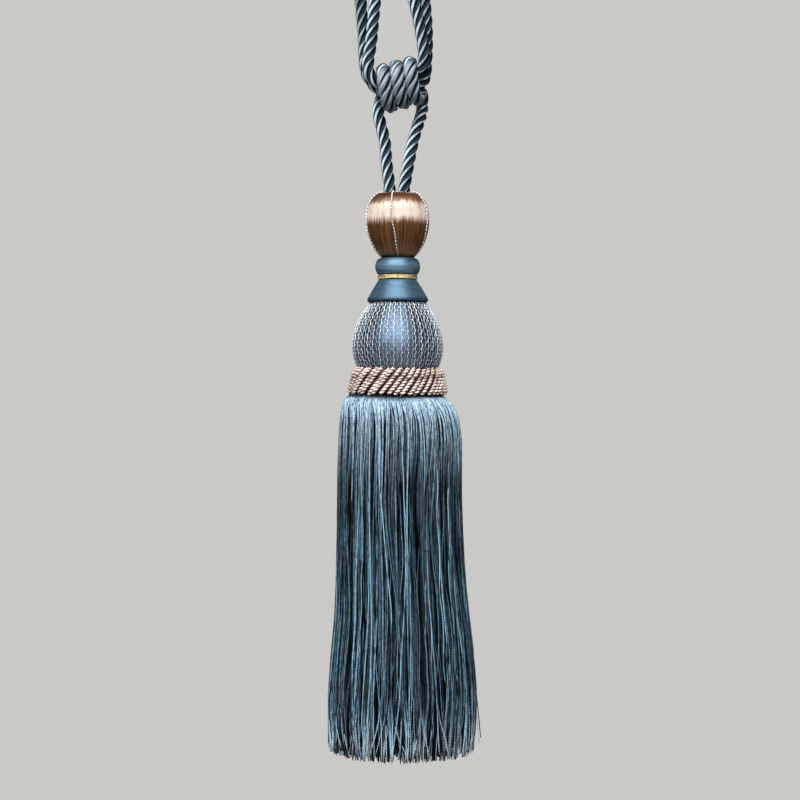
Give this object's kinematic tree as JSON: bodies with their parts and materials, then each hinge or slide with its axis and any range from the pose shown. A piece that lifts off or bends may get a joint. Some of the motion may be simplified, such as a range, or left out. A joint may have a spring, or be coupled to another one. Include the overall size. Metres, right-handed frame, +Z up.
{
  "type": "curtain tieback tassel",
  "caption": "Curtain tieback tassel: twisted rope in a slide knot over thread-wound turned moulds, a netted ball, a slanted cord braid and a long thread fringe.",
  "frame": {"origin": "the hanging point, on the tassel's axis and level with the underside of the two bights that end the rope's ears", "axes": "+Z up along the tassel's axis, -Y to the front, +X to the viewer's right"},
  "size_m": [0.0745, 0.0744, 0.4227],
  "materials": {
    "rope_satin": "satin viscose cord in four strands, pale blue-grey where it shines and dark teal in the grooves",
    "gold_bronze_thread": "satin thread wound over a turned wooden mould",
    "blue_grey_thread": "satin thread wound over a turned wooden collar",
    "gold_thread": "metallic-look thread",
    "netted_thread": "netted thread over a covered wooden ball",
    "beige_cord": "twisted satin cord",
    "fringe_thread": "fine satin viscose thread"
  },
  "bodies": {
    "root": {"rope_embrace": "rope_satin", "rope_tassel_loop": "rope_satin", "top_mould": "gold_bronze_thread", "collar_mould": "blue_grey_thread", "gold_thread_ring": "gold_thread", "net_ball": "netted_thread", "trim_band": "beige_cord", "fringe_skirt": "fringe_thread"}
  },
  "joints": []
}
